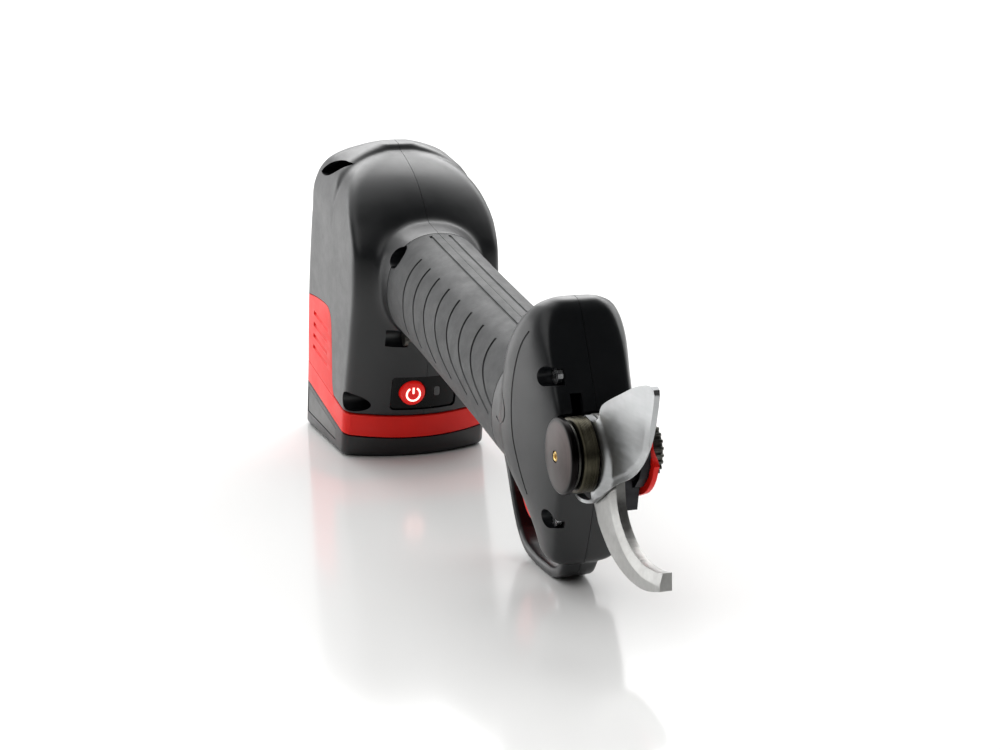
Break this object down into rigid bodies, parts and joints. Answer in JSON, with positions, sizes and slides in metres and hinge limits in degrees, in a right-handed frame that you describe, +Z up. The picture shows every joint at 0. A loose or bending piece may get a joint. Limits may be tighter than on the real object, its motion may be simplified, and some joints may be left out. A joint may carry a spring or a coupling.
{
  "type": "battery electric pruner",
  "caption": "Battery electric pruner: charcoal pistol-body shear with a battery block at the rear, ribbed grip, trigger in a guard, curved hook and swinging cutting blade",
  "frame": {"origin": "centre of the footprint, on the table the tool stands on (battery base and trigger guard touch it)", "axes": "+X towards the blades, +Y to the tool's left, +Z up; the tool is pitched 10 degrees nose down"},
  "size_m": [0.288, 0.0554, 0.1144],
  "materials": {
    "housing": "charcoal moulded plastic, fine satin texture",
    "grip": "dark grey soft-touch overmould, matt",
    "red": "red moulded plastic, satin gloss",
    "panel": "black, smooth",
    "lens": "grey translucent light window",
    "base": "near-black moulded plastic",
    "blade": "ground steel",
    "hub": "oiled dark steel with turning marks",
    "bolt": "polished blackened steel",
    "brass": "turned brass",
    "nut": "blackened steel",
    "steel": "bright zinc-plated steel",
    "aluminium": "machined",
    "board": "green solder mask",
    "cell": "cell can in a blue sleeve",
    "case": "dark moulded plastic"
  },
  "bodies": {
    "housing": {"right_housing": "housing", "left_housing": "housing", "grip_pad_right": "grip", "grip_pad_left": "grip", "control_panel": "panel", "status_lens": "lens", "button_board": "board", "control_board": "board", "terminal_block": "case", "motor": "steel", "gearbox": "aluminium", "screw_bearing": "steel", "head_frame": "aluminium", "counter_blade": "blade", "counter_blade_screw": "steel", "pivot_bolt": "bolt", "pivot_bolt_plug": "brass", "pivot_washer": "steel", "lock_plate": "red", "lock_screw": "steel", "pivot_nut": "nut", "trigger_pin": "steel", "trigger_spring": "steel", "sensor_board": "board", "housing_screw_1": "steel", "housing_screw_2": "steel", "housing_screw_3": "steel", "housing_screw_4": "steel", "housing_screw_5": "steel", "housing_screw_6": "steel"},
    "blade": {"cutting_blade": "blade", "blade_bush": "brass", "pivot_hub": "hub"},
    "drive_nut": {"drive_nut": "aluminium", "drive_pin": "steel"},
    "screw": {"screw_shaft": "steel"},
    "trigger": {"trigger": "red", "trigger_magnet": "steel"},
    "button": {"power_button": "red"},
    "battery": {"battery_base": "base", "battery_collar": "red", "battery_case": "case", "battery_lid": "case", "battery_cell_1": "cell", "battery_cell_2": "cell", "battery_cell_3": "cell", "battery_cell_4": "cell", "latch_spring_right": "steel", "latch_spring_left": "steel"},
    "latch_right": {"latch_right": "red"},
    "latch_left": {"latch_left": "red"}
  },
  "joints": [
    {"name": "blade_swing", "type": "hinge", "parent": "housing", "child": "blade", "pos_m": [0.10037, 0, 0.04537], "axis": [0, 1, 0], "range_deg": [0, 60]},
    {"name": "nut_travel", "type": "slide", "parent": "housing", "child": "drive_nut", "axis": [0.9848, 0, -0.1736], "range_m": [0, 0.007]},
    {"name": "screw_turn", "type": "hinge", "parent": "housing", "child": "screw", "pos_m": [0.04561, 0, 0.04691], "axis": [0.9848, 0, -0.1736], "range_deg": [0, 840]},
    {"name": "trigger_pull", "type": "hinge", "parent": "housing", "child": "trigger", "pos_m": [0.04461, 0, 0.03551], "axis": [0, 1, 0], "range_deg": [0, 8], "stiffness_Nm_per_rad": 0.6, "springref_deg": -8.59},
    {"name": "button_press", "type": "slide", "parent": "housing", "child": "button", "axis": [-0.9848, 0, 0.1736], "range_m": [0, 0.0008], "stiffness_N_per_m": 1500, "springref_m": -0.0004},
    {"name": "battery_slide", "type": "slide", "parent": "housing", "child": "battery", "axis": [-0.1736, 0, -0.9848], "range_m": [0, 0.09]},
    {"name": "latch_right_press", "type": "hinge", "parent": "battery", "child": "latch_right", "pos_m": [-0.11683, -0.0265, 0.02407], "axis": [-0.9848, 0, 0.1736], "range_deg": [0, 3], "stiffness_Nm_per_rad": 1.2, "springref_deg": -1.72},
    {"name": "latch_left_press", "type": "hinge", "parent": "battery", "child": "latch_left", "pos_m": [-0.11683, 0.0265, 0.02407], "axis": [0.9848, 0, -0.1736], "range_deg": [0, 3], "stiffness_Nm_per_rad": 1.2, "springref_deg": -1.72}
  ],
  "couplings": [
    {"joint": "nut_travel", "follows": "blade_swing", "m_per_rad": 0.006684},
    {"joint": "screw_turn", "follows": "blade_swing", "ratio": 14}
  ]
}
